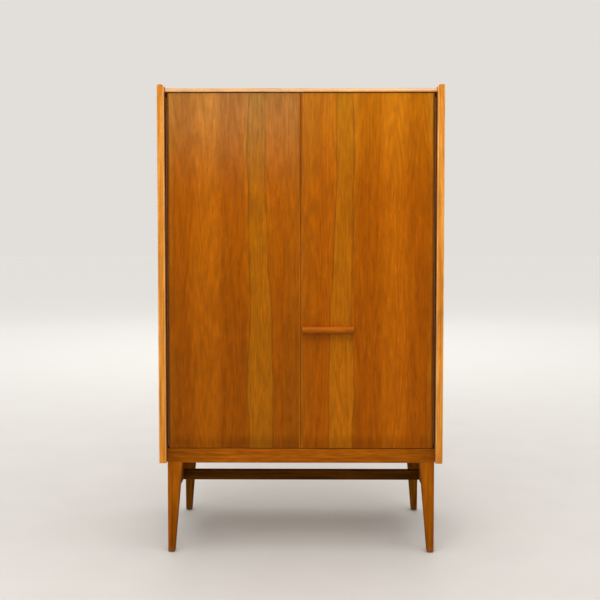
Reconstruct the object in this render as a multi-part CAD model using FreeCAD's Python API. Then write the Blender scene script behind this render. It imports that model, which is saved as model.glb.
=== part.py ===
import FreeCAD, Part
import os

from FreeCAD import Vector

# Millimetres. The front faces -Y, +X is to the viewer's right and the floor is Z = 0.
overall_width = 800.0
overall_depth = 450.0
overall_height = 1325.0

# Case boards
side_thickness = 20.0
side_bottom = 263.0
side_round_outer = 3.0
side_round_inner = 8.5
side_lipping = 9.0
edge_round = 2.0
side_rise = 7.0
panel_thickness = 20.0
case_floor_bottom = 300.0
top_lip_height = 11.5
top_lip_overhang = 4.0
top_lip_bevel = 8.0
rebate_width = 8.0
back_thickness = 5.0
back_inset = 3.0

# Doors
door_recess = 22.0
door_thickness = 19.0
door_side_gap = 5.5
door_meeting_gap = 1.2
door_bottom_gap = 2.0
door_top_gap = 2.5
door_back_gap = 1.0
door_lipping = 5.0
door_edge_round = 0.8

# Continuous hinges
hinge_bottom = 312.0
knuckle_pitch = 35.0
knuckle_count = 28
knuckle_gap = 0.4
knuckle_radius = 2.4
pin_radius = 1.0
pin_bore = 1.06
leaf_thickness = 1.0
leaf_start = 2.9
leaf_width = 16.0
hinge_stand_out = 1.0
hinge_screw_spacing = 105.0
hinge_screw_count = 9

# Handle on the right door
handle_start = 4.0
handle_length = 146.0
handle_bottom = 631.0
handle_height = 17.0
handle_depth = 21.0
handle_edge = 2.5
cove_radius = 7.5
cove_end = 24.0
handle_screw_inset = 10.0
handle_screw_bite = 14.0

# Shelves on loose pins
shelf_thickness = 18.0
shelf_end_gap = 1.5
shelf_front_set_back = 18.0
shelf_back_gap = 3.0
shelf_lipping = 6.0
pin_hole_radius = 2.5
pin_hole_depth = 11.0
peg_radius = 2.45
peg_in_side = 10.0
peg_out = 9.0
first_hole = 58.0
hole_pitch = 48.0
hole_count = 18
hole_rows = (-110.0, 160.0)
shelf_holes = (5, 10, 15)

# Catches and buffers
catch_offset = 46.0
catch_length = 44.0
catch_depth = 18.0
catch_height = 14.0
magnet_length = 30.0
magnet_height = 8.0
magnet_depth = 13.0
keeper_length = 38.0
keeper_height = 12.0
keeper_thickness = 1.2
keeper_air = 0.4
keeper_screw_length = 14.0
catch_round = 1.0
buffer_radius = 4.0
buffer_thickness = 0.6
buffer_places = (30.0, 330.0)

# Base frame
leg_side_clearance = 0.4
leg_foot_width = 19.0
leg_knee_width = 32.0
leg_knee_height = 166.0
leg_flare_width = 34.5
leg_flare_height = 205.0
leg_top_width = 40.0
leg_foot_depth = 23.0
leg_top_depth = 40.0
leg_round = 2.5
rear_leg_inset = 22.0
apron_height = 41.0
apron_thickness = 22.0
lap_screw_spacing = 18.0
lap_screw_length = 32.0
rail_bottom = 156.0
rail_top = 200.0
rail_thickness = 17.0
rail_set_in = 2.0
rail_tenon = (18.0, 8.0, 26.0)
stretcher_height = 29.0
stretcher_thickness = 22.0
stretcher_tenon = (11.0, 11.0, 18.0)
corner_block = 40.0
corner_block_cut = 14.0
corner_block_height = 38.0
glide_radius = 8.0
glide_height = 3.0
glide_nail = 16.0
glide_round = 1.0

# Fixings
dowel_radius = 4.0
dowel_hole_radius = 4.05
dowel_in_side = 12.0
dowel_in_panel = 22.0
dowel_rows = (-150.0, -40.0, 70.0, 180.0)
screw_head = 3.0
screw_shank = 1.4
slot_width = 0.8
slot_depth = 0.7

# Places worked out from the sizes above
half_width = overall_width / 2
front = -overall_depth / 2
back = overall_depth / 2
side_inner = half_width - side_thickness
top_surface = overall_height - side_rise
top_underside = top_surface - panel_thickness
floor_top = case_floor_bottom + panel_thickness
door_front = front + door_recess
door_back = door_front + door_thickness
case_front = door_back + door_back_gap
back_inner = back - rebate_width
back_outer = back - back_inset
door_bottom = case_floor_bottom + door_bottom_gap
door_top = top_surface - top_lip_height - door_top_gap
door_outer = side_inner - door_side_gap
door_inner = door_meeting_gap / 2
hinge_x = side_inner - door_side_gap / 2
hinge_y = door_front - hinge_stand_out
hinge_top = hinge_bottom + knuckle_pitch * knuckle_count
leg_outer = side_inner - leg_side_clearance
apron_bottom = case_floor_bottom - apron_height
rear_leg_back = back - rear_leg_inset
base_middle = (door_front + rear_leg_back) / 2
rail_outer = leg_outer - rail_set_in
rail_inner = rail_outer - rail_thickness

right = Vector(1, 0, 0)
rear = Vector(0, 1, 0)
up = Vector(0, 0, 1)


def block(x0, x1, y0, y1, z0, z1):
    return Part.makeBox(x1 - x0, y1 - y0, z1 - z0, Vector(x0, y0, z0))


def mirrored(shape):
    return shape.mirror(Vector(0, 0, 0), right)


def front_to_rear(shape):
    return shape.mirror(Vector(0, base_middle, 0), rear)


def both_sides(shapes):
    return shapes + [mirrored(shape) for shape in shapes]


def save(name, shapes):
    shapes = shapes if isinstance(shapes, list) else [shapes]
    shape = shapes[0] if len(shapes) == 1 else Part.makeCompound(shapes)
    shape.exportStep("parts/" + name + ".step")


def save_pair(name, right_shape):
    save(name + "_right", right_shape)
    save(name + "_left", mirrored(right_shape))


def drilled(board, pieces):
    return board.cut(Part.makeCompound(pieces))


def rounded(shape, radius, chosen):
    return shape.makeFillet(radius, [edge for edge in shape.Edges if chosen(edge)])


def lies_at(edge, **places):
    # True when every end of the edge has the given coordinates
    return all(
        abs(getattr(vertex.Point, axis) - value) < 0.01
        for vertex in edge.Vertexes
        for axis, value in places.items()
    )


def prism(outline, along):
    # Outline edges, in order, closed into a face and pushed out along a vector
    return Part.Face(Part.Wire(outline)).extrude(along)


def line(start, end):
    return Part.makeLine(start, end)


def curve(start, pole, end):
    bend = Part.BezierCurve()
    bend.setPoles([start, pole, end])
    return bend.toShape()


def screw(head, direction, length):
    # Slotted countersunk wood screw, head flush at its place
    head_height = screw_head - screw_shank
    cone = Part.makeCone(screw_head, screw_shank, head_height, head, direction)
    shank = Part.makeCylinder(screw_shank, length, head, direction)
    run = 2 * screw_head
    across = slot_width / 2
    if abs(direction.z) > 0.5:
        reach = Vector(run, across, slot_depth)
    elif abs(direction.x) > 0.5:
        reach = Vector(slot_depth, across, run)
    else:
        reach = Vector(across, slot_depth, run)
    slot = Part.makeBox(2 * reach.x, 2 * reach.y, 2 * reach.z, head - reach)
    return cone.fuse(shank).removeSplitter().cut(slot)


def screw_hole(head, direction, length):
    cone = Part.makeCone(screw_head, screw_shank, screw_head - screw_shank, head, direction)
    return cone.fuse(Part.makeCylinder(screw_shank, length, head, direction)).removeSplitter()


def screws_and_holes(heads, direction, length):
    return (
        [screw(head, direction, length) for head in heads],
        [screw_hole(head, direction, length) for head in heads],
    )


# Dowels between the sides and the two fixed panels, right hand set
dowel_heights = (case_floor_bottom + panel_thickness / 2, top_surface - panel_thickness / 2)
dowel_starts = [
    Vector(side_inner - dowel_in_panel, row, height)
    for height in dowel_heights
    for row in dowel_rows
]
dowel_length = dowel_in_panel + dowel_in_side
dowels = [Part.makeCylinder(dowel_radius, dowel_length, start, right) for start in dowel_starts]
dowel_holes = [
    Part.makeCylinder(dowel_hole_radius, dowel_length, start, right) for start in dowel_starts
]

# Continuous hinge of the right door
leaf_back = hinge_y + leaf_width
case_leaf_face = side_inner - leaf_thickness
door_leaf_face = door_outer + leaf_thickness
hinge_screw_y = hinge_y + (leaf_start + leaf_width) / 2
hinge_middle = (hinge_bottom + hinge_top) / 2
hinge_screw_heights = [
    hinge_middle + hinge_screw_spacing * (index - (hinge_screw_count - 1) / 2)
    for index in range(hinge_screw_count)
]
hinge_screw_length = 13.0
case_leaf_screws, case_leaf_holes = screws_and_holes(
    [Vector(case_leaf_face, hinge_screw_y, height) for height in hinge_screw_heights],
    right,
    hinge_screw_length,
)
door_leaf_screws, door_leaf_holes = screws_and_holes(
    [Vector(door_leaf_face, hinge_screw_y, height) for height in hinge_screw_heights],
    -right,
    hinge_screw_length,
)


def hinge_leaf(first_knuckle, plate_start, web_start, web_end, holes):
    # Plate with every second knuckle, each rolled on a short web
    pieces = []
    for index in range(first_knuckle, knuckle_count, 2):
        low = hinge_bottom + knuckle_pitch * index + knuckle_gap / 2
        length = knuckle_pitch - knuckle_gap
        centre = Vector(hinge_x, hinge_y, low)
        pieces.append(Part.makeCylinder(knuckle_radius, length, centre, up))
        pieces.append(block(web_start, web_end, hinge_y, hinge_y + leaf_start, low, low + length))
    plate = block(
        plate_start,
        plate_start + leaf_thickness,
        hinge_y + leaf_start,
        leaf_back,
        hinge_bottom,
        hinge_top,
    )
    leaf = plate.fuse(pieces).removeSplitter()
    bore = Part.makeCylinder(
        pin_bore, hinge_top - hinge_bottom, Vector(hinge_x, hinge_y, hinge_bottom), up
    )
    return drilled(leaf, [bore] + holes)


def build_hinges():
    case_leaf = hinge_leaf(
        0, case_leaf_face, case_leaf_face, hinge_x + knuckle_radius, case_leaf_holes
    )
    door_leaf = hinge_leaf(1, door_outer, hinge_x - knuckle_radius, door_leaf_face, door_leaf_holes)
    pin = Part.makeCylinder(
        pin_radius, hinge_top - hinge_bottom, Vector(hinge_x, hinge_y, hinge_bottom), up
    )
    save_pair("hinge_case_leaf", case_leaf)
    save_pair("hinge_door_leaf", door_leaf)
    save_pair("hinge_pin", pin)
    save("hinge_case_screws", both_sides(case_leaf_screws))
    save("hinge_door_screws_right", door_leaf_screws)
    save("hinge_door_screws_left", [mirrored(piece) for piece in door_leaf_screws])


# Screws that hold the back panel
back_screw_length = 16.0
back_side_heights = (345.0, 575.0, 805.0, 1035.0, 1265.0)
back_across = (-270.0, 0.0, 270.0)
back_side_heads = [
    Vector(side_inner + rebate_width / 2, back_outer, height) for height in back_side_heights
]
back_side_screws, back_side_holes = screws_and_holes(back_side_heads, -rear, back_screw_length)
back_low_screws, back_low_holes = screws_and_holes(
    [Vector(x, back_outer, dowel_heights[0]) for x in back_across], -rear, back_screw_length
)
back_high_screws, back_high_holes = screws_and_holes(
    [Vector(x, back_outer, top_underside + rebate_width / 2) for x in back_across],
    -rear,
    back_screw_length,
)


def build_sides():
    def rounded_side(y0, y1):
        board = block(side_inner, half_width, y0, y1, side_bottom, overall_height)
        crown = rounded(
            board, side_round_outer, lambda edge: lies_at(edge, x=half_width, z=overall_height)
        )
        return rounded(
            crown, side_round_inner, lambda edge: lies_at(edge, x=side_inner, z=overall_height)
        )

    rebate = block(
        side_inner,
        side_inner + rebate_width,
        back_inner,
        back,
        case_floor_bottom,
        top_underside + rebate_width,
    )
    shelf_pin_holes = [
        Part.makeCylinder(
            pin_hole_radius,
            pin_hole_depth,
            Vector(side_inner, row, floor_top + first_hole + hole_pitch * index),
            right,
        )
        for row in hole_rows
        for index in range(hole_count)
    ]
    panel = rounded_side(front + side_lipping, back).cut(rebate)
    panel = drilled(panel, shelf_pin_holes + dowel_holes + case_leaf_holes + back_side_holes)
    save_pair("side_panel", panel)

    lipping = rounded_side(front, front + side_lipping)
    lipping = rounded(
        lipping,
        edge_round,
        lambda edge: lies_at(edge, y=front) and not lies_at(edge, z=side_bottom),
    )
    save_pair("side_lipping", lipping)


def build_panels():
    panel_dowel_holes = both_sides(dowel_holes)
    top = block(-side_inner, side_inner, case_front, back_outer, top_underside, top_surface)
    back_rebate = block(
        -side_inner,
        side_inner,
        back_inner,
        back_outer,
        top_underside,
        top_underside + rebate_width,
    )
    catch_holes = [piece for side in catch_case_holes for piece in side]
    save("top_panel", drilled(top.cut(back_rebate), panel_dowel_holes + back_high_holes + catch_holes))

    # Front lip of the top: it reaches over the doors and is bevelled back to the top surface
    lip_front = door_front - top_lip_overhang
    lip_bottom = top_surface - top_lip_height
    bevel_start = top_surface - top_lip_bevel
    corners = [
        Vector(-side_inner, lip_front, lip_bottom),
        Vector(-side_inner, case_front, lip_bottom),
        Vector(-side_inner, case_front, top_surface),
        Vector(-side_inner, lip_front + top_lip_bevel, top_surface),
        Vector(-side_inner, lip_front, bevel_start),
    ]
    edges = [line(a, b) for a, b in zip(corners, corners[1:] + corners[:1])]
    lip = prism(edges, right * (2 * side_inner))
    lip = rounded(lip, edge_round, lambda edge: lies_at(edge, y=lip_front, z=bevel_start))
    save("top_lip", lip)

    floor = block(-side_inner, side_inner, case_front, back_inner, case_floor_bottom, floor_top)
    save("bottom_panel", drilled(floor, panel_dowel_holes + back_low_holes + block_screw_holes))

    play = 0.5
    back_half = side_inner + rebate_width - play
    back_low = case_floor_bottom + door_bottom_gap
    back_high = top_underside + rebate_width - play
    back_panel = block(-back_half, back_half, back_inner, back_outer, back_low, back_high)
    back_holes = both_sides(back_side_holes) + back_low_holes + back_high_holes
    save("back_panel", drilled(back_panel, back_holes))
    save("back_panel_screws", both_sides(back_side_screws) + back_low_screws + back_high_screws)
    save("carcass_dowels", both_sides(dowels))


def build_shelves():
    names = ("shelf_lower", "shelf_middle", "shelf_upper")
    shelf_half = side_inner - shelf_end_gap
    shelf_front = case_front + shelf_front_set_back
    pegs = []
    lippings = []
    for name, hole in zip(names, shelf_holes):
        peg_height = floor_top + first_hole + hole_pitch * hole
        low = peg_height + peg_radius
        high = low + shelf_thickness
        board_front = shelf_front + shelf_lipping
        board = block(-shelf_half, shelf_half, board_front, back_inner - shelf_back_gap, low, high)
        save(name, board)
        strip = block(-shelf_half, shelf_half, shelf_front, board_front, low, high)
        lippings.append(rounded(strip, edge_round, lambda edge: lies_at(edge, y=shelf_front)))
        for row in hole_rows:
            start = Vector(side_inner - peg_out, row, peg_height)
            pegs.append(Part.makeCylinder(peg_radius, peg_out + peg_in_side, start, right))
    save("shelf_lippings", lippings)
    save("shelf_pins", both_sides(pegs))


# Magnetic catches under the top and the keeper plates on the doors, right hand set
keeper_middle = top_underside - catch_height / 2
catch_face = door_back + keeper_thickness + keeper_air
catch_middle = catch_face + catch_depth / 2
catch_screw_offset = 18.5
catch_screw_length = 26.0
catch_case_heads = [
    Vector(catch_offset + side * catch_screw_offset, catch_middle, top_underside - catch_height)
    for side in (-1, 1)
]
catch_case_screws, right_catch_holes = screws_and_holes(catch_case_heads, up, catch_screw_length)
catch_case_holes = (right_catch_holes, [mirrored(piece) for piece in right_catch_holes])
keeper_screws, keeper_holes = screws_and_holes(
    [Vector(catch_offset, door_back + keeper_thickness, keeper_middle)], -rear, keeper_screw_length
)


def build_catches():
    case = block(
        catch_offset - catch_length / 2,
        catch_offset + catch_length / 2,
        catch_face,
        catch_face + catch_depth,
        top_underside - catch_height,
        top_underside,
    )
    case = rounded(case, catch_round, lambda edge: not lies_at(edge, z=top_underside))
    magnet = block(
        catch_offset - magnet_length / 2,
        catch_offset + magnet_length / 2,
        catch_face,
        catch_face + magnet_depth,
        keeper_middle - magnet_height / 2,
        keeper_middle + magnet_height / 2,
    )
    save_pair("catch_case", drilled(case, [magnet] + right_catch_holes))
    save("catch_magnets", both_sides([magnet]))
    save("catch_screws", both_sides(catch_case_screws))

    keeper = block(
        catch_offset - keeper_length / 2,
        catch_offset + keeper_length / 2,
        door_back,
        door_back + keeper_thickness,
        keeper_middle - keeper_height / 2,
        keeper_middle + keeper_height / 2,
    )
    save_pair("catch_keeper", drilled(keeper, keeper_holes))
    save_pair("keeper_screw", keeper_screws[0])

    buffers = [
        Part.makeCylinder(
            buffer_radius, buffer_thickness, Vector(place, case_front, dowel_heights[0]), -rear
        )
        for place in buffer_places
    ]
    save("door_buffers", both_sides(buffers))


# Handle screws, driven from inside the right door
handle_middle = handle_bottom + handle_height / 2
handle_end = handle_start + handle_length
handle_screws, handle_holes = screws_and_holes(
    [
        Vector(x, door_back, handle_middle)
        for x in (handle_start + handle_screw_inset, handle_end - handle_screw_inset)
    ],
    -rear,
    door_thickness + handle_screw_bite,
)


def build_doors():
    # Veneered leaf between a hinge lipping and a meeting lipping
    board = block(
        door_inner + door_lipping,
        door_outer - door_lipping,
        door_front,
        door_back,
        door_bottom,
        door_top,
    )
    meeting = block(
        door_inner, door_inner + door_lipping, door_front, door_back, door_bottom, door_top
    )
    hinge_side = block(
        door_outer - door_lipping, door_outer, door_front, door_back, door_bottom, door_top
    )
    meeting = rounded(
        meeting, door_edge_round, lambda edge: lies_at(edge, x=door_inner, y=door_front)
    )
    hinge_side = rounded(
        hinge_side, door_edge_round, lambda edge: lies_at(edge, x=door_outer, y=door_front)
    )
    hinge_side = drilled(hinge_side, door_leaf_holes)
    leaf = drilled(board, door_leaf_holes + keeper_holes)
    save("door_left", mirrored(leaf))
    save("door_right", drilled(leaf, handle_holes))
    save_pair("door_lippings", Part.makeCompound([meeting, hinge_side]))


def build_handle():
    bar = block(
        handle_start,
        handle_end,
        door_front - handle_depth,
        door_front,
        handle_bottom,
        handle_bottom + handle_height,
    )
    bar = rounded(bar, handle_edge, lambda edge: not lies_at(edge, y=door_front))
    # Finger cove milled along the underside, with round ends
    cove_start = Vector(handle_start + cove_end, door_front - handle_depth / 2, handle_bottom)
    cove_length = handle_length - 2 * cove_end
    cove = [
        Part.makeCylinder(cove_radius, cove_length, cove_start, right),
        Part.makeSphere(cove_radius, cove_start),
        Part.makeSphere(cove_radius, cove_start + right * cove_length),
    ]
    bar = bar.cut(cove[0].fuse(cove[1:]).removeSplitter())
    save("handle", drilled(bar, handle_holes))
    save("handle_screws", handle_screws)


def build_leg():
    # Right front leg: straight outer and front faces, tapered inside and behind
    def across(width, z):
        return Vector(leg_outer - width, door_front, z)

    face = [
        line(across(0, glide_height), across(0, case_floor_bottom)),
        line(across(0, case_floor_bottom), across(leg_top_width, case_floor_bottom)),
        line(across(leg_top_width, case_floor_bottom), across(leg_top_width, apron_bottom)),
        curve(
            across(leg_top_width, apron_bottom),
            across(leg_flare_width, leg_flare_height),
            across(leg_knee_width, leg_knee_height),
        ),
        line(across(leg_knee_width, leg_knee_height), across(leg_foot_width, glide_height)),
        line(across(leg_foot_width, glide_height), across(0, glide_height)),
    ]
    front_view = prism(face, rear * leg_top_depth)

    def deep(depth, z):
        return Vector(leg_outer - leg_top_width, door_front + depth, z)

    corners = [
        deep(0, glide_height),
        deep(leg_foot_depth, glide_height),
        deep(leg_top_depth, apron_bottom),
        deep(leg_top_depth, case_floor_bottom),
        deep(0, case_floor_bottom),
    ]
    edges = [line(a, b) for a, b in zip(corners, corners[1:] + corners[:1])]
    side_view = prism(edges, right * leg_top_width)
    leg = front_view.common(side_view).removeSplitter()
    return rounded(
        leg,
        leg_round,
        lambda edge: not lies_at(edge, z=glide_height) and not lies_at(edge, z=case_floor_bottom)
        and not lies_at(edge, z=apron_bottom),
    )


def build_apron():
    # Front rail across the whole width, half lapped over the front of both leg tops
    rail = block(
        -leg_outer,
        leg_outer,
        door_front,
        door_front + apron_thickness,
        apron_bottom,
        case_floor_bottom,
    )
    return rounded(rail, edge_round, lambda edge: lies_at(edge, y=door_front, z=apron_bottom))


def leg_back_at(z):
    # Place of a front leg's rear face at a height
    slope = (leg_top_depth - leg_foot_depth) / (apron_bottom - glide_height)
    return door_front + leg_foot_depth + slope * (z - glide_height)


def build_side_rail():
    # Rail between a front and a rear leg, its ends cut to the slope of the legs
    far = 2 * base_middle
    front_top = leg_back_at(rail_top)
    front_corner = leg_back_at(rail_bottom)
    corners = [
        Vector(rail_inner, front_top, rail_top),
        Vector(rail_inner, far - front_top, rail_top),
        Vector(rail_inner, far - front_corner, rail_bottom),
        Vector(rail_inner, front_corner, rail_bottom),
    ]
    outline = [line(a, b) for a, b in zip(corners, corners[1:] + corners[:1])]
    rail = prism(outline, right * rail_thickness)
    long_edge = base_middle - front_top
    rail = rounded(rail, edge_round, lambda edge: edge.Length > long_edge)
    length, thickness, height = rail_tenon
    middle_x = (rail_inner + rail_outer) / 2
    middle_z = (rail_bottom + rail_top) / 2
    tenon = block(
        middle_x - thickness / 2,
        middle_x + thickness / 2,
        front_corner - length,
        front_corner + length,
        middle_z - height / 2,
        middle_z + height / 2,
    )
    return rail.fuse([tenon, front_to_rear(tenon)]).removeSplitter()


def build_stretcher():
    length, thickness, height = stretcher_tenon
    middle_z = rail_bottom + stretcher_height / 2
    bar = block(
        -rail_inner,
        rail_inner,
        base_middle - stretcher_thickness / 2,
        base_middle + stretcher_thickness / 2,
        rail_bottom,
        rail_bottom + stretcher_height,
    )
    bar = rounded(bar, edge_round, lambda edge: edge.Length > rail_inner)
    tenon = block(
        rail_inner,
        rail_inner + length,
        base_middle - thickness / 2,
        base_middle + thickness / 2,
        middle_z - height / 2,
        middle_z + height / 2,
    )
    return bar.fuse(both_sides([tenon])).removeSplitter()


# Screws through the lapped leg tops into the aprons, right front pair
lap_middle_x = leg_outer - leg_top_width / 2
lap_middle_z = (apron_bottom + case_floor_bottom) / 2
lap_screws, lap_holes = screws_and_holes(
    [
        Vector(lap_middle_x + side * lap_screw_spacing / 2, door_front + leg_top_depth, lap_middle_z)
        for side in (-1, 1)
    ],
    -rear,
    lap_screw_length,
)

# Screws that hold the corner blocks to the case floor
block_middle_x = leg_outer - leg_top_width - corner_block / 3
block_middle_y = door_front + apron_thickness + corner_block / 3
block_low = case_floor_bottom - corner_block_height
block_screw_length = 54.0
block_front_heads = [Vector(side * block_middle_x, block_middle_y, block_low) for side in (-1, 1)]
block_rear_heads = [Vector(head.x, 2 * base_middle - head.y, head.z) for head in block_front_heads]
block_screws, block_screw_holes = screws_and_holes(
    block_front_heads + block_rear_heads, up, block_screw_length
)


def build_base():
    leg = build_leg()
    apron = build_apron()
    side_rail = build_side_rail()
    stretcher = build_stretcher()

    foot_middle = Vector(
        leg_outer - leg_foot_width / 2, door_front + leg_foot_depth / 2, 0.0
    )
    disc = Part.makeCylinder(glide_radius, glide_height, foot_middle)
    disc = rounded(disc, glide_round, lambda edge: lies_at(edge, z=0.0))
    nail = Part.makeCylinder(screw_shank, glide_nail, foot_middle + up * glide_height)
    glide = disc.fuse(nail).removeSplitter()

    leg = drilled(leg, [apron, side_rail, nail] + lap_holes)
    apron = drilled(apron, both_sides(lap_holes))
    rear_lap_screws = [front_to_rear(piece) for piece in lap_screws]
    save_pair("leg_front", leg)
    save_pair("leg_rear", front_to_rear(leg))
    save("apron_front", apron)
    save("apron_rear", front_to_rear(apron))
    save("lap_screws", both_sides(lap_screws + rear_lap_screws))
    save_pair("side_rail", side_rail.cut(stretcher))
    save("stretcher", stretcher)
    save("leg_glides", both_sides([glide, front_to_rear(glide)]))

    corner_x = leg_outer - leg_top_width
    corner_y = door_front + apron_thickness
    corners = [
        Vector(corner_x, corner_y, block_low),
        Vector(corner_x - corner_block, corner_y, block_low),
        Vector(corner_x - corner_block, corner_y + corner_block_cut, block_low),
        Vector(corner_x - corner_block_cut, corner_y + corner_block, block_low),
        Vector(corner_x, corner_y + corner_block, block_low),
    ]
    edges = [line(a, b) for a, b in zip(corners, corners[1:] + corners[:1])]
    wedge = prism(edges, up * corner_block_height)
    blocks = both_sides([wedge, front_to_rear(wedge)])
    save("corner_blocks", [drilled(piece, block_screw_holes) for piece in blocks])
    save("corner_block_screws", block_screws)


os.makedirs("parts", exist_ok=True)
build_hinges()
build_sides()
build_panels()
build_shelves()
build_catches()
build_doors()
build_handle()
build_base()
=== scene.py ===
import math
import bpy
import bmesh
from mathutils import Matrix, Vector


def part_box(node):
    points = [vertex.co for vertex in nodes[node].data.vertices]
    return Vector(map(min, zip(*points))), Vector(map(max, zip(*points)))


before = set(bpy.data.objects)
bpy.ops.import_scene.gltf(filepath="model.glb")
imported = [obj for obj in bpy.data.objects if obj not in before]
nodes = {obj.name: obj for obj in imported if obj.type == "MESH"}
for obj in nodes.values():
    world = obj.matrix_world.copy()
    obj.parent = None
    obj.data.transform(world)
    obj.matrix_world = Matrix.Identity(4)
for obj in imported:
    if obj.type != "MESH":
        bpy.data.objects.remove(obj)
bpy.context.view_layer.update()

mm = 0.001
noiseSpan = (0.3, 0.7)   # where nearly all values of a noise pattern lie
print("stage: frame loaded,", len(nodes), "nodes")


def linear(hexColour):
    # sRGB hex to the linear values that a colour socket takes
    values = []
    for start in (1, 3, 5):
        part = int(hexColour[start:start + 2], 16) / 255.0
        values.append(part / 12.92 if part <= 0.04045 else ((part + 0.055) / 1.055) ** 2.4)
    return (*values, 1.0)


def addNode(tree, kind, settings=None, links=None):
    # a setting is a property of the node, the stops of its ramp, or one of its inputs.
    # Mix has sockets for each kind of data: 4 and 5 take vectors, 6 and 7 take colours
    node = tree.nodes.new("ShaderNode" + kind)
    for key, value in (settings or {}).items():
        if key == "stops":
            band = node.color_ramp.elements
            for place, colour in value[1:-1]:
                band.new(place).color = linear(colour)
            band[0].color = linear(value[0][1])
            band[-1].color = linear(value[-1][1])
        elif isinstance(key, str) and hasattr(node, key):
            setattr(node, key, value)
        else:
            node.inputs[key].default_value = value
    for key, socket in (links or {}).items():
        tree.links.new(socket, node.inputs[key])
    return node


def newMaterial(name):
    material = bpy.data.materials.new(name)
    material.use_nodes = True
    material.node_tree.nodes.clear()
    place = addNode(material.node_tree, "TexCoord").outputs["Object"]
    return material, material.node_tree, place


def dress(material, *nodeNames):
    for nodeName in nodeNames:
        slots = nodes[nodeName].data.materials
        slots.clear()
        slots.append(material)


def pair(name):
    return name + "_left", name + "_right"


def limitOf(nodeName, end, axis):
    # where a node begins (end 0) or stops (end 1) along an axis, in mm
    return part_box(nodeName)[end]["XYZ".index(axis)] / mm


def grainScale(along, width, length):
    # scale for a pattern that is width mm across the grain and length mm along it
    return tuple(1.0 / ((length if axis == along else width) * mm) for axis in "XYZ")


def around(spread):
    # a span of tones from a little darker to a little paler
    return 1.0 - spread, 1.0 + spread


def sheen(tree, colour, height, roughness, settings, relief):
    # the shader at the end of a material: colour, roughness and relief come from its pattern
    strength, depth = relief
    lift = addNode(tree, "Bump", {"Strength": strength, "Distance": depth * mm}, {"Height": height})
    shader = addNode(tree, "BsdfPrincipled", settings,
                     {"Base Color": colour, "Roughness": roughness, "Normal": lift.outputs[0]})
    addNode(tree, "OutputMaterial", {}, {"Surface": shader.outputs[0]})


def streaks(tree, place, along, size, span, detail=2.0, wave=0.0, cut=noiseSpan):
    # cloudy lines along the grain, size mm across and along, spread over the two values of span
    scale = addNode(tree, "VectorMath", {"operation": "MULTIPLY", 1: grainScale(along, *size)}, {0: place})
    cloud = addNode(tree, "TexNoise", {"Scale": 1.0, "Detail": detail, "Distortion": wave},
                    {"Vector": scale.outputs[0]})
    spread = addNode(tree, "MapRange", {"From Min": cut[0], "From Max": cut[1], "To Min": span[0],
                                        "To Max": span[1]}, {"Value": cloud.outputs[0]})
    return spread.outputs[0]


# teak, lacquered satin: warm orange brown, straight grain with short open pores.
# Grain and pores are drawn several times wider than they are, so that they show.
teak = {
    "along": "Z",                                      # the axis that the grain follows
    "colours": ("#8E4703", "#A65807", "#BA6A0E"),      # dark, middle and pale runs
    "colourPlaces": (0.0, 0.45, 1.0),
    "figure": (26.0, 420.0), "wave": 0.5,              # patterns: mm across and along the grain
    "grain": (3.2, 45.0), "contrast": 0.13,
    "streak": (10.0, 45.0), "streakContrast": 0.07,
    "ringSize": (70.0, 900.0), "rings": 9.0, "ringCut": (0.2, 0.8),
    "ringSwing": (-1.0, 0.6),                          # cut off above, so that the dark lines are thin
    "ringTones": (0.90, 1.03),
    "pore": (1.8, 24.0), "poreCut": (0.6, 0.72), "poreDepth": 0.2,
    "rough": 0.23, "roughSpread": 0.05, "roughTones": (0.85, 1.15),
    "gloss": 0.04, "relief": (0.1, 0.4),               # strength, and depth in mm
}


def woodSurface(tree, place, colour, look):
    # fine grain, broader streaks and open pores over a ground colour, then the lacquer
    along = look["along"]
    grain = streaks(tree, place, along, look["grain"], around(look["contrast"]), detail=4.0)
    streak = streaks(tree, place, along, look["streak"], around(look["streakContrast"]), detail=3.0, wave=0.4)
    pore = streaks(tree, place, along, look["pore"], (0.0, 1.0), detail=1.0, cut=look["poreCut"])
    # growth rings cut lengthways: thin lines that close into long arches here and there
    turns = 2.0 * math.pi * look["rings"]
    field = streaks(tree, place, along, look["ringSize"], (0.0, turns), detail=1.0, wave=0.2,
                    cut=look["ringCut"])
    swing = addNode(tree, "Math", {"operation": "SINE"}, {0: field})
    low, high = look["ringSwing"]
    dark, pale = look["ringTones"]
    ring = addNode(tree, "MapRange", {"From Min": low, "From Max": high, "To Min": dark, "To Max": pale},
                   {"Value": swing.outputs[0]})
    tone = grain
    for other in (streak, ring.outputs[0]):
        tone = addNode(tree, "Math", {"operation": "MULTIPLY"}, {0: tone, 1: other}).outputs[0]
    dim = addNode(tree, "Math", {"operation": "MULTIPLY_ADD", 1: -look["poreDepth"], 2: 1.0}, {0: pore})
    shade = addNode(tree, "Math", {"operation": "MULTIPLY"}, {0: tone, 1: dim.outputs[0]})
    stained = addNode(tree, "VectorMath", {"operation": "SCALE"}, {0: colour, "Scale": shade.outputs[0]})
    height = addNode(tree, "Math", {"operation": "SUBTRACT"}, {0: grain, 1: pore})
    # dark wood is more open, so the lacquer is rougher there
    dark, pale = look["roughTones"]
    rough = addNode(tree, "MapRange", {"From Min": dark, "From Max": pale,
                                       "To Min": look["rough"] + look["roughSpread"],
                                       "To Max": look["rough"] - look["roughSpread"]}, {"Value": tone})
    sheen(tree, stained.outputs[0], height.outputs[0], rough.outputs[0],
          {"Specular IOR Level": look["gloss"]}, look["relief"])


def figureColour(tree, place, look):
    # slow darker and lighter runs along the board, from wavy growth rings
    run = streaks(tree, place, look["along"], look["figure"], (0.0, 1.0), wave=look["wave"])
    stops = list(zip(look["colourPlaces"], look["colours"]))
    return addNode(tree, "ValToRGB", {"stops": stops}, {"Fac": run}).outputs[0]


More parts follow.
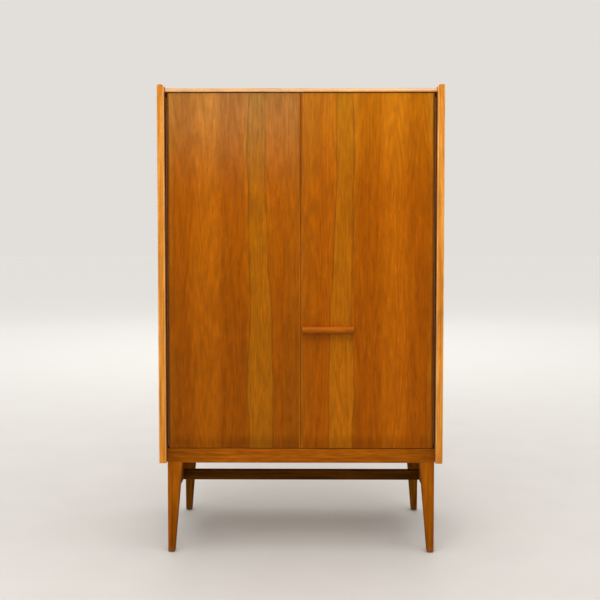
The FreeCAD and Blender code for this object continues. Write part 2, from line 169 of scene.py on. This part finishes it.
def lineAndShadeInside(tree, axes, colour, insideLook):
    # the face towards the middle has its own tone, behind a front and below a top: a paler lining inside a
    # side, painted shade on a lipping's face in the recess
    reach = addNode(tree, "Math", {"operation": "ABSOLUTE"}, {0: axes["X"]})
    within = addNode(tree, "Math", {"operation": "LESS_THAN", 1: insideLook["within"] * mm},
                     {0: reach.outputs[0]})
    behind = addNode(tree, "Math", {"operation": "GREATER_THAN", 1: insideLook["behind"] * mm}, {0: axes["Y"]})
    below = addNode(tree, "Math", {"operation": "LESS_THAN", 1: insideLook["below"] * mm}, {0: axes["Z"]})
    inner = within.outputs[0]
    for limit in (behind, below):
        inner = addNode(tree, "Math", {"operation": "MULTIPLY"}, {0: inner, 1: limit.outputs[0]}).outputs[0]
    liningAndShade = addNode(tree, "Mix", {"data_type": "RGBA", 7: linear(insideLook["tone"])}, {0: inner, 6: colour})
    return liningAndShade.outputs[2]


def darkenAlong(tree, axes, colour, dimLook):
    # darker from one place to another along an axis, the same on both sides of the middle
    reach = addNode(tree, "Math", {"operation": "ABSOLUTE"}, {0: axes[dimLook["axis"]]})
    dim = addNode(tree, "MapRange", {"From Min": dimLook["clear"] * mm, "From Max": dimLook["end"] * mm,
                                     "To Min": 1.0, "To Max": dimLook["dark"]}, {"Value": reach.outputs[0]})
    darkened = addNode(tree, "VectorMath", {"operation": "SCALE"}, {0: colour, "Scale": dim.outputs[0]})
    return darkened.outputs[0]


def paleWearAndHighlight(tree, place, colour, near, paleMarks):
    # paler in patches, more of it where near is higher: worn lacquer at a leg's foot, a painted highlight on
    # a lipping's edges
    patches = streaks(tree, place, "Z", paleMarks["patch"], paleMarks["share"], detail=3.0)
    amount = addNode(tree, "Math", {"operation": "MULTIPLY"}, {0: near, 1: patches})
    bare = addNode(tree, "Mix", {"data_type": "RGBA", 7: linear(paleMarks["tone"])},
                   {0: amount.outputs[0], 6: colour})
    return bare.outputs[2]


def paintEdgeHighlight(tree, place, axes, colour, paleMarks):
    # both long edges of a lipping painted pale: a painted highlight where its rounded edges catch the light
    reach = addNode(tree, "Math", {"operation": "ABSOLUTE"}, {0: axes["X"]})
    off = addNode(tree, "Math", {"operation": "SUBTRACT", 1: paleMarks["middle"] * mm}, {0: reach.outputs[0]})
    away = addNode(tree, "Math", {"operation": "ABSOLUTE"}, {0: off.outputs[0]})
    near = addNode(tree, "MapRange", {"From Min": paleMarks["plain"] * mm, "From Max": paleMarks["full"] * mm},
                   {"Value": away.outputs[0]})
    return paleWearAndHighlight(tree, place, colour, near.outputs[0], paleMarks)


def scuffFoot(tree, place, axes, colour, paleMarks):
    # the end of a leg scuffed pale, most of all near the floor
    near = addNode(tree, "MapRange", {"From Min": paleMarks["full"] * mm, "From Max": paleMarks["plain"] * mm,
                                      "To Min": 1.0, "To Max": 0.0}, {"Value": axes["Z"]})
    return paleWearAndHighlight(tree, place, colour, near.outputs[0], paleMarks)


def wood(name, changes):
    # like teak where the piece's own dictionary doesn't differ, then its lining and painted shade inside,
    # darkening along an axis, a painted edge highlight and a worn foot
    look = dict(teak, **changes)
    material, tree, place = newMaterial(name)
    axes = addNode(tree, "SeparateXYZ", {}, {0: place}).outputs
    colour = figureColour(tree, place, look)
    if "liningAndShade" in look:
        colour = lineAndShadeInside(tree, axes, colour, look["liningAndShade"])
    if "darkened" in look:
        colour = darkenAlong(tree, axes, colour, look["darkened"])
    if "edgeHighlight" in look:
        colour = paintEdgeHighlight(tree, place, axes, colour, look["edgeHighlight"])
    if "scuffed" in look:
        colour = scuffFoot(tree, place, axes, colour, look["scuffed"])
    woodSurface(tree, place, colour, look)
    return material


# book-matched door veneer: two leaves opened like a book, so each band is at the same distance
# from the middle seam on both doors. Sizes in mm, measured out from the seam and up from the floor
doorLeaf = {
    "halfWidth": 375.0,
    "bands": ((0.0, "#9C5103"), (0.10, "#9D5103"), (0.15, "#9C4E02"), (0.23, "#A25304"),
              (0.40, "#A45604"), (0.44, "#994C01"), (0.56, "#9B4E02"), (0.62, "#AB5A05"),
              (0.77, "#A95804"), (0.84, "#9A4D02"), (0.94, "#9C4F02"), (1.0, "#A9620B")),
    "wander": 11.0, "wanderSize": (150.0, 420.0),
    "stripe": ("#AC6208", "#985303"),                  # a paler stripe, low and high on the door
    "stripeCentre": 120.0, "stripeLow": 33.5, "stripeTop": 19.5, "stripeHeights": (450.0, 1300.0),
    "stripeSoft": 3.0, "edgeLine": 3.6, "edgeDark": 0.3,
    "mottle": 0.07, "mottleSize": (26.0, 65.0),
    # tints near the floor, at mid height and near the top: painted shade low and painted light high, and a
    # whitish painted sheen in the top tints
    "leftPaintedLight": ((0.80, 0.81, 0.80), (1.04, 1.08, 1.0), (1.06, 1.50, 2.4)),
    "rightPaintedLight": ((0.95, 0.93, 0.85), (1.05, 1.08, 1.0), (1.31, 1.66, 3.2)),
    "paintedLightHeights": ((480.0, 1120.0), (1000.0, 1330.0)),
    "paintedSheen": "#C4A58C", "paintedSheenShare": 0.07,              # painted sheen: a whitish reflection at the top of the left leaf
    "lowEdgeHeights": (318.0, 345.0), "lowEdgeDim": 0.76,     # darker along the lower edge
}


def leafFigure(tree, mirrored, axes, leaf):
    # bands that wander a little on their way up
    sway = streaks(tree, mirrored, "Z", leaf["wanderSize"], (-leaf["wander"], leaf["wander"]))
    across = addNode(tree, "Math", {"operation": "MULTIPLY_ADD", 1: 1.0 / mm}, {0: axes["X"], 2: sway})
    share = addNode(tree, "Math", {"operation": "DIVIDE", 1: leaf["halfWidth"]}, {0: across.outputs[0]})
    bands = addNode(tree, "ValToRGB", {"stops": leaf["bands"]}, {"Fac": share.outputs[0]})
    # the pale stripe, wider towards the floor
    low, high = (height * mm for height in leaf["stripeHeights"])
    reach = addNode(tree, "MapRange", {"From Min": low, "From Max": high, "To Min": leaf["stripeLow"],
                                       "To Max": leaf["stripeTop"]}, {"Value": axes["Z"]})
    off = addNode(tree, "Math", {"operation": "SUBTRACT", 1: leaf["stripeCentre"]}, {0: across.outputs[0]})
    away = addNode(tree, "Math", {"operation": "ABSOLUTE"}, {0: off.outputs[0]})
    beyond = addNode(tree, "Math", {"operation": "SUBTRACT"}, {0: away.outputs[0], 1: reach.outputs[0]})
    inside = addNode(tree, "MapRange", {"interpolation_type": "SMOOTHSTEP", "From Min": -leaf["stripeSoft"],
                                        "From Max": leaf["stripeSoft"], "To Min": 1.0, "To Max": 0.0},
                     {"Value": beyond.outputs[0]})
    upper = addNode(tree, "MapRange", {"From Min": low, "From Max": high}, {"Value": axes["Z"]})
    lowTone, highTone = (linear(tone) for tone in leaf["stripe"])
    pale = addNode(tree, "Mix", {"data_type": "RGBA", 6: lowTone, 7: highTone}, {0: upper.outputs[0]})
    striped = addNode(tree, "Mix", {"data_type": "RGBA"},
                      {0: inside.outputs[0], 6: bands.outputs[0], 7: pale.outputs[2]})
    # a thin dark ring at each edge of the stripe, and mottle where the fibres wave
    edge = addNode(tree, "Math", {"operation": "ABSOLUTE"}, {0: beyond.outputs[0]})
    ring = addNode(tree, "MapRange", {"From Min": 0.0, "From Max": leaf["edgeLine"],
                                      "To Min": 1.0 - leaf["edgeDark"], "To Max": 1.0},
                   {"Value": edge.outputs[0]})
    cloud = streaks(tree, mirrored, "Z", leaf["mottleSize"], around(leaf["mottle"]), detail=3.0, wave=1.2)
    light = addNode(tree, "Math", {"operation": "MULTIPLY"}, {0: ring.outputs[0], 1: cloud})
    mottled = addNode(tree, "VectorMath", {"operation": "SCALE"},
                      {0: striped.outputs[2], "Scale": light.outputs[0]})
    return mottled.outputs[0]


def leafLightAndEdge(tree, place, axes, colour, leaf):
    # each leaf has its own tint, which changes with height: painted shade low, painted light and sheen high
    rise = []
    for start, end in leaf["paintedLightHeights"]:
        step = addNode(tree, "MapRange", {"interpolation_type": "SMOOTHSTEP", "From Min": start * mm,
                                          "From Max": end * mm}, {"Value": axes["Z"]})
        rise.append(step.outputs[0])
    tints = []
    for floorTint, middleTint, topTint in (leaf["leftPaintedLight"], leaf["rightPaintedLight"]):
        lower = addNode(tree, "Mix", {"data_type": "VECTOR", 4: floorTint, 5: middleTint}, {0: rise[0]})
        whole = addNode(tree, "Mix", {"data_type": "VECTOR", 5: topTint}, {0: rise[1], 4: lower.outputs[1]})
        tints.append(whole.outputs[1])
    spot = addNode(tree, "SeparateXYZ", {}, {0: place})
    isRight = addNode(tree, "Math", {"operation": "GREATER_THAN", 1: 0.0}, {0: spot.outputs["X"]})
    tint = addNode(tree, "Mix", {"data_type": "VECTOR"}, {0: isRight.outputs[0], 4: tints[0], 5: tints[1]})
    tinted = addNode(tree, "VectorMath", {"operation": "MULTIPLY"}, {0: colour, 1: tint.outputs[1]})
    # painted sheen, a whitish reflection, on the left leaf only, then both leaves darker towards the lower
    # edge
    leftSheen = addNode(tree, "MapRange", {"To Min": leaf["paintedSheenShare"], "To Max": 0.0},
                    {"Value": isRight.outputs[0]})
    amount = addNode(tree, "Math", {"operation": "MULTIPLY"}, {0: leftSheen.outputs[0], 1: rise[1]})
    sheened = addNode(tree, "Mix", {"data_type": "RGBA", 7: linear(leaf["paintedSheen"])},
                   {0: amount.outputs[0], 6: tinted.outputs[0]})
    dimStart, dimEnd = leaf["lowEdgeHeights"]
    lowEdgeDim = addNode(tree, "MapRange", {"From Min": dimStart * mm, "From Max": dimEnd * mm,
                                       "To Min": leaf["lowEdgeDim"], "To Max": 1.0}, {"Value": axes["Z"]})
    dimmed = addNode(tree, "VectorMath", {"operation": "SCALE"},
                     {0: sheened.outputs[2], "Scale": lowEdgeDim.outputs[0]})
    return dimmed.outputs[0]


def doorVeneer(name, leaf):
    material, tree, place = newMaterial(name)
    mirrored = addNode(tree, "VectorMath", {"operation": "ABSOLUTE"}, {0: place}).outputs[0]
    axes = addNode(tree, "SeparateXYZ", {}, {0: mirrored}).outputs
    figure = leafFigure(tree, mirrored, axes, leaf)
    woodSurface(tree, place, leafLightAndEdge(tree, place, axes, figure, leaf), teak)
    return material


dress(doorVeneer("teak veneer book-matched", doorLeaf), *pair("door"))

# just past the inner faces of the sides, and the backs of the doors
liningLimit = limitOf("side_panel_right", 0, "X") + 0.3
doorBack = limitOf("door_right", 1, "Y")

# straight quiet veneer, lined with a paler one inside
sideBoard = {"figure": (34.0, 600.0),
             "liningAndShade": {"within": liningLimit, "behind": doorBack, "below": 1300.0, "tone": "#C9A06A"}}
dress(wood("teak veneer side", sideBoard), *pair("side_panel"))

# the same veneer with its lacquer dulled by what stood on it
topBoard = {"along": "X", "figure": (34.0, 600.0), "rough": 0.45}
dress(wood("teak veneer top", topBoard), "top_panel")

# solid lipping: paler and yellower than the veneer, a painted highlight along both edges, painted shade where
# it faces the doors
sideLipping = {"colours": ("#BA6B18", "#D0832A", "#DF9741"), "figure": (9.0, 300.0),
               "liningAndShade": {"within": liningLimit, "behind": -230.0, "below": 1330.0, "tone": "#7A430E"},
               # darker towards the floor: painted shade
               "darkened": {"axis": "Z", "clear": 1250.0, "end": 280.0, "dark": 0.93},
               # both edges paler: a painted highlight
               "edgeHighlight": {"middle": 390.0, "plain": 6.5, "full": 9.0, "tone": "#F0BE86",
                          "patch": (12.0, 90.0), "share": (0.15, 0.75)}}
dress(wood("teak lipping", sideLipping), *pair("side_lipping"))

# thin lipping in the tone of the doors, with painted shade beside the hinge, in the gap
doorLipping = {"colours": ("#8C4906", "#9A5309", "#A65D10"), "figure": (9.0, 300.0),
               "darkened": {"axis": "X", "clear": 300.0, "end": 374.0, "dark": 0.66}}
dress(wood("teak door lipping", doorLipping), *pair("door_lippings"))

# pale front edge of the top, which keeps its shine: paler wood, partly a painted highlight where the bevel
# faces the light
topLip = {"along": "X", "colours": ("#B07A38", "#BE8846", "#C89554"), "figure": (9.0, 300.0),
          "rough": 0.3, "gloss": 0.5}
dress(wood("teak top lip", topLip), "top_lip")

# wavy figure, matt, darker towards the legs
apron = {"along": "X", "colours": ("#8C4707", "#9A5108", "#A65B0B"), "figure": (12.0, 160.0), "wave": 1.2,
         "ringSize": (30.0, 300.0), "rings": 6.0, "rough": 0.5, "gloss": 0.02,
         "darkened": {"axis": "X", "clear": 180.0, "end": 375.0, "dark": 0.74}}
dress(wood("teak apron", apron), "apron_front", "apron_rear")

# dark bars of the base, without shine: their dark colour is painted shade, for the shade under the case
stretcher = {"along": "X", "colours": ("#3E2206", "#502D08", "#5E380B"), "figure": (12.0, 260.0),
             "rough": 0.6, "gloss": 0.0}
dress(wood("teak stretcher", stretcher), "stretcher")
sideRail = {"along": "Y", "colours": ("#6A3806", "#7E4609", "#90520C"), "figure": (12.0, 200.0),
            "rough": 0.6, "gloss": 0.0}
dress(wood("teak side rail", sideRail), *pair("side_rail"))

# legs: matt and scuffed pale at the end; the front pair grows darker towards the floor
frontLeg = {"colours": ("#8A4603", "#9A5106", "#A65C0A"), "figure": (12.0, 220.0),
            "rough": 0.55, "gloss": 0.02,
            "darkened": {"axis": "Z", "clear": 230.0, "end": 30.0, "dark": 0.76},
            "scuffed": {"full": 4.5, "plain": 18.0, "tone": "#94673F",
                        "patch": (9.0, 14.0), "share": (0.0, 0.7)}}
dress(wood("teak leg", frontLeg), *pair("leg_front"))
# the rear pair, its scuffs too, darker all over: painted shade, for the shade under the case
rearLeg = {"colours": ("#5C3205", "#6E3F08", "#804C0C"), "figure": (12.0, 220.0),
           "rough": 0.6, "gloss": 0.0,
           "scuffed": dict(frontLeg["scuffed"], tone="#6E4C2E")}
dress(wood("teak rear leg", rearLeg), *pair("leg_rear"))

# handle: redder and smooth, with painted shade darkening its lower half
handleTop = limitOf("handle", 1, "Z")
handle = {"along": "X", "colours": ("#A6540B", "#B65F0F", "#C46B16"), "figure": (6.0, 120.0),
          "darkened": {"axis": "Z", "clear": handleTop - 2.0, "end": handleTop - 12.0, "dark": 0.52}}
dress(wood("teak handle", handle), "handle")

# pale plain birch inside, hardly any pores
insideBoard = {"along": "X", "colours": ("#C2985F", "#CFA86F", "#D8B47E"),
               "contrast": 0.05, "poreDepth": 0.05}
dress(wood("birch veneer inside", insideBoard),
      "bottom_panel", "shelf_lower", "shelf_middle", "shelf_upper", "shelf_lippings")

# peeled birch plywood: wide arches, raw and dull
backBoard = {"colours": ("#B68D58", "#C09A64", "#C8A46F"), "contrast": 0.13, "poreDepth": 0.12,
             "figure": (60.0, 700.0), "ringSize": (160.0, 1100.0), "rings": 12.0, "ringTones": (0.88, 1.036),
             "rough": 0.6, "gloss": 0.05}
dress(wood("birch plywood back", backBoard), "back_panel")

# pinkish beech with short close grain
beech = {"colours": ("#C89E74", "#D6B088", "#E0BF9A"), "figure": (8.0, 60.0),
         "contrast": 0.06, "poreDepth": 0.1}
dress(wood("beech turned", beech), "carcass_dowels", "corner_blocks")
print("stage: wood done")


def plainSurface(name, look):
    # metal, plastic, magnet or felt: a cloudy colour, a fine relief and uneven roughness.
    # Sizes are in mm, and the grit is drawn coarser than it is, so that it shows
    material, tree, place = newMaterial(name)
    cloud = addNode(tree, "TexNoise", {"Scale": 1.0 / (look["patch"] * mm), "Detail": 3.0}, {"Vector": place})
    fine = addNode(tree, "TexNoise", {"Scale": 1.0 / (look["grit"] * mm), "Detail": 2.0}, {"Vector": place})
    stops = list(zip((0.0, 1.0), look["colours"]))
    tint = addNode(tree, "ValToRGB", {"stops": stops}, {"Fac": cloud.outputs[0]})
    isMetal = "metallic" in look
    least, most = noiseSpan
    low, high = look["rough"]
    rub = addNode(tree, "MapRange", {"From Min": least, "From Max": most, "To Min": low, "To Max": high},
                  {"Value": (cloud if isMetal else fine).outputs[0]})
    settings = {"Metallic": look["metallic"]} if isMetal else {}
    sheen(tree, tint.outputs[0], fine.outputs[0], rub.outputs[0], settings, look["relief"])
    return material


# brass gone brown with age, a little duller where it was touched
brass = {"colours": ("#583A1E", "#7E5A36"), "metallic": 1.0, "rough": (0.34, 0.52),
         "patch": 6.0, "grit": 0.5, "relief": (0.15, 0.1)}
dress(plainSurface("brass dark aged", brass), *pair("hinge_case_leaf"), *pair("hinge_door_leaf"),
      "hinge_case_screws", *pair("hinge_door_screws"), "shelf_pins")

# zinc plate: bright cold grey with cloudy patches
steel = {"colours": ("#8D8F92", "#B4B6B8"), "metallic": 1.0, "rough": (0.24, 0.42),
         "patch": 5.0, "grit": 0.4, "relief": (0.15, 0.1)}
dress(plainSurface("steel zinc plated", steel), *pair("hinge_pin"), "back_panel_screws", "handle_screws",
      *pair("catch_keeper"), *pair("keeper_screw"), "catch_screws", "corner_block_screws", "lap_screws")

# sintered magnet: nearly black, fine grained
magnet = {"colours": ("#2C2B2B", "#3B3A39"), "rough": (0.44, 0.56), "patch": 3.0, "grit": 0.3,
          "relief": (0.2, 0.1)}
dress(plainSurface("ferrite magnet", magnet), "catch_magnets")

# yellowed nylon, softly shiny
catch = {"colours": ("#CFC6B2", "#DCD4C2"), "rough": (0.36, 0.48), "patch": 9.0, "grit": 0.6,
         "relief": (0.2, 0.1)}
dress(plainSurface("nylon cream catch", catch), *pair("catch_case"))

# pressed felt: fuzzy, no shine at all
felt = {"colours": ("#5B4634", "#77604A"), "rough": (0.84, 0.96), "patch": 2.0, "grit": 0.25,
        "relief": (0.6, 0.1)}
dress(plainSurface("felt brown", felt), "door_buffers")

# moulded nylon, greyed by the floor
glide = {"colours": ("#55483A", "#6B5C4B"), "rough": (0.44, 0.56), "patch": 4.0, "grit": 0.4,
         "relief": (0.2, 0.1)}
dress(plainSurface("nylon glide", glide), "leg_glides")
print("stage: metal, plastic and felt done")

# floor: pale trowelled concrete, plain and matt. Radius and fade are in metres
floorLook = {"radius": 30.0, "sides": 96, "colours": ("#C2BFBB", "#CAC7C3"), "patch": 180.0,
             "far": "#E2E0DD", "fade": (1.2, 6.0),
             "rough": (0.75, 0.95), "gloss": 0.1, "relief": (0.05, 0.5)}


def makeFloor():
    mesh = bpy.data.meshes.new("floor")
    shape = bmesh.new()
    bmesh.ops.create_circle(shape, cap_ends=True, segments=floorLook["sides"], radius=floorLook["radius"])
    shape.to_mesh(mesh)
    shape.free()
    floor = bpy.data.objects.new("floor", mesh)
    bpy.context.collection.objects.link(floor)
    material, tree, place = newMaterial("concrete pale trowelled")
    cloud = addNode(tree, "TexNoise", {"Scale": 1.0 / (floorLook["patch"] * mm), "Detail": 4.0},
                    {"Vector": place})
    tint = addNode(tree, "ValToRGB", {"stops": list(zip((0.0, 1.0), floorLook["colours"]))},
                   {"Fac": cloud.outputs[0]})
    # paler with distance, so that it runs into the wall
    near, distant = floorLook["fade"]
    away = addNode(tree, "VectorMath", {"operation": "LENGTH"}, {0: place})
    fade = addNode(tree, "MapRange", {"From Min": near, "From Max": distant}, {"Value": away.outputs[1]})
    paler = addNode(tree, "Mix", {"data_type": "RGBA", 7: linear(floorLook["far"])},
                    {0: fade.outputs[0], 6: tint.outputs[0]})
    low, high = floorLook["rough"]
    rough = addNode(tree, "MapRange", {"To Min": low, "To Max": high}, {"Value": cloud.outputs[0]})
    sheen(tree, paler.outputs[2], cloud.outputs[0], rough.outputs[0],
          {"Specular IOR Level": floorLook["gloss"]}, floorLook["relief"])
    mesh.materials.append(material)


makeFloor()

# soft studio light: a high window in front, weak fills at the sides, one lamp behind, an even
# ceiling, and a far pane that is mirrored as the sheen at the top of the left door
lamps = {
    "window": {"at": (-0.3, -2.0, 2.6), "to": (0.0, 0.0, 0.75), "size": (1.6, 1.0), "watts": 22.5},
    "skylight": {"at": (0.5, -0.05, 3.2), "to": (0.2, -0.05, 0.0), "size": (1.8, 0.7), "watts": 8.5},
    "pane": {"at": (-0.51, -5.0, 2.09), "to": (0.0, 0.0, 1.2), "size": (0.75, 0.8), "watts": 25.0},
    "fillRight": {"at": (2.4, -2.6, 1.5), "to": (0.0, 0.0, 0.7), "size": (1.2, 1.6), "watts": 9.0},
    "fillLeft": {"at": (-2.6, -2.4, 1.4), "to": (0.0, 0.0, 0.7), "size": (1.2, 1.6), "watts": 7.0},
    "behind": {"at": (-0.2, 3.6, 3.4), "to": (0.0, 2.0, 0.0), "size": (3.6, 2.4), "watts": 60.0,
               "mirrored": False},
}
ceiling = {"strength": 1.8, "spread": 70.0, "tilt": (10.0, 0.0, 0.0)}


def makeLamps():
    for name, lamp in lamps.items():
        data = bpy.data.lights.new(name, "AREA")
        data.shape = "RECTANGLE"
        data.size, data.size_y = lamp["size"]
        data.energy = lamp["watts"]
        thing = bpy.data.objects.new(name, data)
        bpy.context.collection.objects.link(thing)
        thing.location = lamp["at"]
        towards = Vector(lamp["to"]) - Vector(lamp["at"])
        thing.rotation_euler = towards.to_track_quat("-Z", "Y").to_euler()
        thing.visible_camera = False
        thing.visible_glossy = lamp.get("mirrored", True)
    data = bpy.data.lights.new("ceiling", "SUN")
    data.energy = ceiling["strength"]
    data.angle = math.radians(ceiling["spread"])
    thing = bpy.data.objects.new("ceiling", data)
    bpy.context.collection.objects.link(thing)
    thing.rotation_euler = [math.radians(angle) for angle in ceiling["tilt"]]


makeLamps()

# the room: a dim even fill, seen as a pale wall by the camera and in reflections
room = {"wall": "#E2DFDA", "fill": 0.59}


def makeRoom():
    world = bpy.data.worlds.new("room")
    bpy.context.scene.world = world
    world.use_nodes = True
    tree = world.node_tree
    tree.nodes.clear()
    path = addNode(tree, "LightPath")
    shiny = addNode(tree, "Math", {"operation": "MAXIMUM"},
                    {0: path.outputs["Is Glossy Ray"], 1: path.outputs["Is Transmission Ray"]})
    seen = addNode(tree, "Math", {"operation": "MAXIMUM"},
                   {0: path.outputs["Is Camera Ray"], 1: shiny.outputs[0]})
    strength = addNode(tree, "MapRange", {"To Min": room["fill"], "To Max": 1.0}, {"Value": seen.outputs[0]})
    glow = addNode(tree, "Background", {"Color": linear(room["wall"])}, {"Strength": strength.outputs[0]})
    addNode(tree, "OutputWorld", {}, {"Surface": glow.outputs[0]})


makeRoom()

# camera: straight on, from the height of the doors, tilted down a little
view = {"at": (0.0143, -2.7051, 0.9214), "pitch": 87.422, "turn": 0.379, "lens": 53.319, "sensor": 36.0,
        "shiftY": -0.05}


def makeCamera():
    data = bpy.data.cameras.new("camera")
    data.lens = view["lens"]
    data.sensor_width = view["sensor"]
    data.shift_y = view["shiftY"]
    camera = bpy.data.objects.new("camera", data)
    bpy.context.collection.objects.link(camera)
    camera.location = view["at"]
    camera.rotation_euler = (math.radians(view["pitch"]), 0.0, math.radians(view["turn"]))
    bpy.context.scene.camera = camera


makeCamera()
bpy.context.scene.view_settings.view_transform = "Standard"
print("stage: floor, lamps and camera done")
